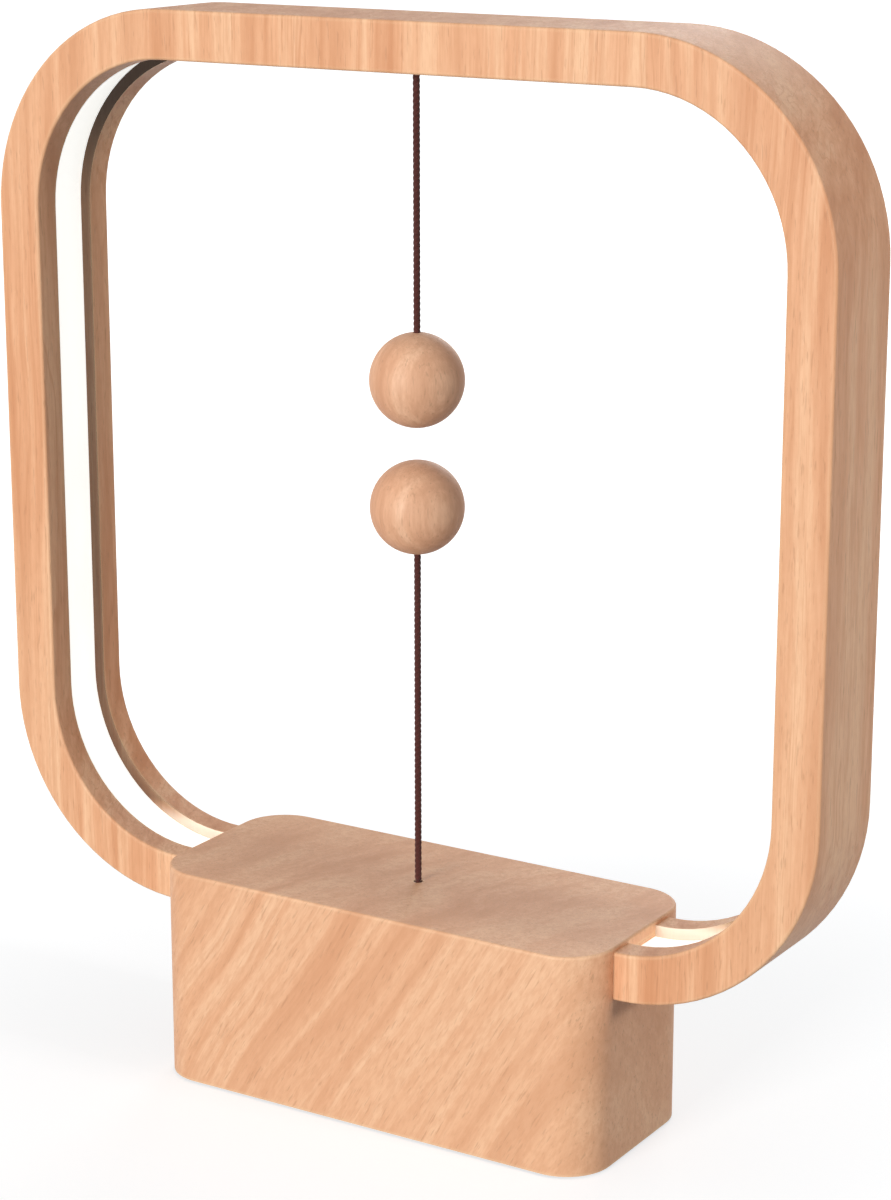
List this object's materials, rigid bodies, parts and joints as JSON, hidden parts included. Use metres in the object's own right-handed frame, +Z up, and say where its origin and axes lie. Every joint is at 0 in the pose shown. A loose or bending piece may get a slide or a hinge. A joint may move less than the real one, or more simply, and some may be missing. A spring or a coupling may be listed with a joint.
{
  "type": "magnetic balance lamp",
  "caption": "Desk lamp: a rounded wooden ring with a light strip inside it on a wooden base; two wooden balls on strings meet by magnets in mid-air and switch the light.",
  "frame": {"origin": "middle of the surface the base stands on", "axes": "+X to the right along the ring's width, -Y towards the front, +Z up"},
  "size_m": [0.2, 0.0466, 0.234],
  "materials": {
    "wood": "fine vertical grain, oiled",
    "base_wood": "slanting grain, oiled",
    "ball_wood": "sanded smooth",
    "diffuser": "milky, lit from behind",
    "string": "twisted cotton",
    "brass": "turned",
    "steel": "zinc plated",
    "ballast": "mill finish",
    "magnet": "nickel plated",
    "rubber": "matt",
    "dark_plastic": "fine spark texture",
    "light_plastic": "moulded",
    "orange_plastic": "moulded",
    "red_plastic": "moulded",
    "board": "solder mask",
    "white_board": "solder mask",
    "chip": "phosphor",
    "lead": "smooth insulation"
  },
  "bodies": {
    "base": {"base_shell": "base_wood", "base_plate": "dark_plastic", "plate_screws": "steel", "rubber_feet": "rubber", "ballast_plate": "ballast", "ring_frame": "wood", "light_diffuser": "diffuser", "light_board": "white_board", "light_chips": "chip", "light_leads": "lead", "string_socket": "brass", "upper_knot": "string", "string_guide": "light_plastic", "return_spring": "steel", "switch_bracket": "light_plastic", "bracket_screws": "steel", "lever_pin": "steel", "switch_body": "dark_plastic", "switch_screws": "steel", "switch_leads": "lead", "circuit_board": "board", "board_parts": "dark_plastic", "board_spacers": "brass", "board_screws": "steel", "power_socket": "steel"},
    "upper_bend": {"upper_bend": "string"},
    "upper_ball": {"upper_string": "string", "upper_ball": "ball_wood", "upper_magnet": "magnet", "upper_plug": "ball_wood"},
    "lower_bend": {"lower_bend": "string"},
    "lower_string": {"lower_string": "string"},
    "lower_ball": {"lower_ball": "ball_wood", "lower_magnet": "magnet", "lower_plug": "ball_wood"},
    "string_pull": {"inner_string": "string", "pull_bead": "brass"},
    "switch_lever": {"switch_lever": "orange_plastic"},
    "switch_button": {"switch_button": "red_plastic"}
  },
  "joints": [
    {"name": "upper_sway_x", "type": "hinge", "parent": "base", "child": "upper_bend", "pos_m": [0, 0, 0.22435], "axis": [1, 0, 0], "range_deg": [-60, 60]},
    {"name": "upper_sway_y", "type": "hinge", "parent": "upper_bend", "child": "upper_ball", "pos_m": [0, 0, 0.22435], "axis": [0, 1, 0], "range_deg": [-60, 60]},
    {"name": "lower_sway_x", "type": "hinge", "parent": "base", "child": "lower_bend", "pos_m": [0, 0, 0.0487], "axis": [1, 0, 0], "range_deg": [-8, 8], "stiffness_Nm_per_rad": 0.03},
    {"name": "lower_sway_y", "type": "hinge", "parent": "lower_bend", "child": "lower_string", "pos_m": [0, 0, 0.0487], "axis": [0, 1, 0], "range_deg": [-8, 8], "stiffness_Nm_per_rad": 0.03},
    {"name": "ball_drop", "type": "slide", "parent": "lower_string", "child": "lower_ball", "axis": [0, 0, 1], "range_m": [-0.0725, 0], "deforming": ["lower_string"]},
    {"name": "string_pull", "type": "slide", "parent": "base", "child": "string_pull", "axis": [0, 0, 1], "range_m": [-0.0025, 0], "deforming": ["return_spring"]},
    {"name": "lever_swing", "type": "hinge", "parent": "base", "child": "switch_lever", "pos_m": [0.022, 0, 0.0242], "axis": [0, 1, 0], "range_deg": [-6.6, 0]},
    {"name": "button_press", "type": "slide", "parent": "base", "child": "switch_button", "axis": [0, 0, 1], "range_m": [-0.0011, 0]}
  ],
  "couplings": [
    {"joint": "string_pull", "follows": "ball_drop", "ratio": 0.0344},
    {"joint": "lever_swing", "follows": "ball_drop", "rad_per_m": 1.57},
    {"joint": "button_press", "follows": "ball_drop", "ratio": 0.01515}
  ]
}
